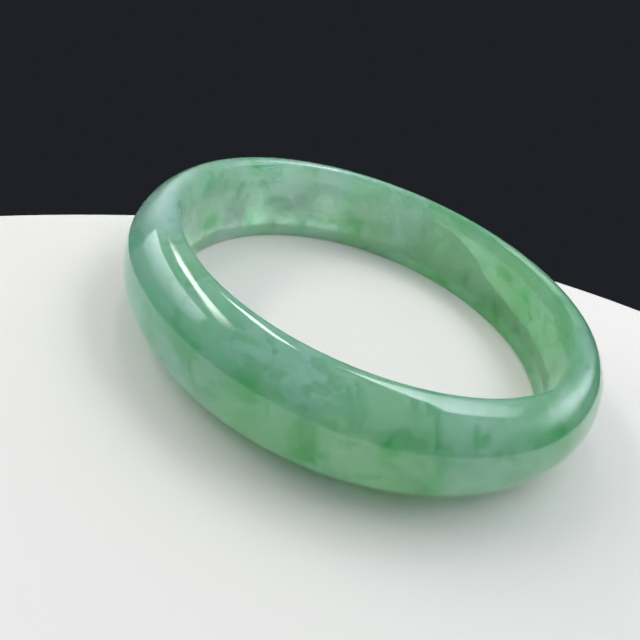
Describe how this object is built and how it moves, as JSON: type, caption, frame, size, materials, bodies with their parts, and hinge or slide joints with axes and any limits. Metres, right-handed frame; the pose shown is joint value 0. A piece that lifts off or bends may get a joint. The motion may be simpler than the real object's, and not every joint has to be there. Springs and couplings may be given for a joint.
{
  "type": "bangle bracelet",
  "caption": "Closed ring of translucent green stone for the wrist: straight round bore, domed D-shaped section and rounded edges.",
  "frame": {"origin": "centre of the bore, at the height of the surface that the bangle lies flat on", "axes": "+Z along the bore, away from that surface; X and Y are free, because the ring is round"},
  "size_m": [0.0688, 0.0688, 0.0135],
  "materials": {
    "jade": "polished translucent green jadeite, with cloudy lighter and deeper green patches"
  },
  "bodies": {
    "root": {"jade_ring": "jade"}
  },
  "joints": []
}
